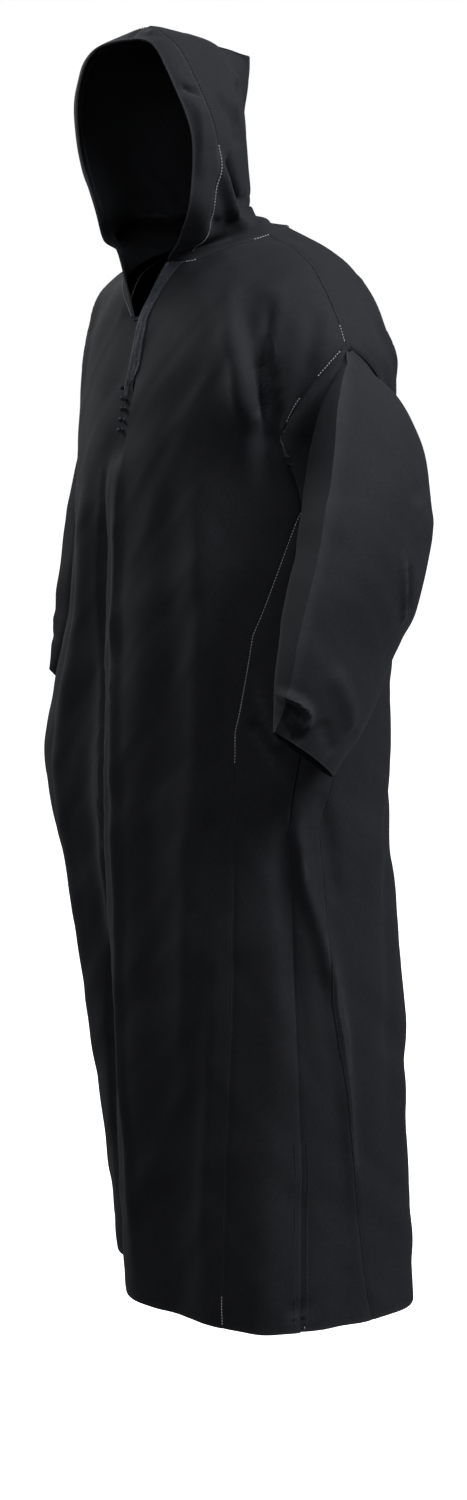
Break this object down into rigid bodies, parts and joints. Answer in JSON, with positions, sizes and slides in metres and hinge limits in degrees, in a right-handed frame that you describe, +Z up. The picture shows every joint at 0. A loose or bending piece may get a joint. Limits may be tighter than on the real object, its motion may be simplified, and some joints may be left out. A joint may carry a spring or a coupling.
{
  "type": "djellaba robe",
  "caption": "Long hooded robe with a chest opening edged with braid, wide sleeves, side gores, pocket openings and slits at the hem, in its worn form.",
  "frame": {"origin": "middle of the neck at shoulder height, where the wearer holds the robe up", "axes": "+Z up, -Y the way the front faces, +X towards the wearer's left sleeve"},
  "size_m": [0.703, 0.4205, 1.5435],
  "materials": {
    "black_twill": "smooth matte twill with a faint sheen",
    "dark_braid": "ribbed matte braid"
  },
  "bodies": {
    "root": {"front_panel": "black_twill", "back_panel": "black_twill", "gore_front_left": "black_twill", "gore_back_left": "black_twill", "gore_front_right": "black_twill", "gore_back_right": "black_twill", "sleeve_left": "black_twill", "sleeve_right": "black_twill", "hood": "black_twill", "braid_left": "dark_braid", "knot_1": "dark_braid", "knot_2": "dark_braid", "knot_3": "dark_braid", "knot_4": "dark_braid", "knot_5": "dark_braid"}
  },
  "joints": []
}
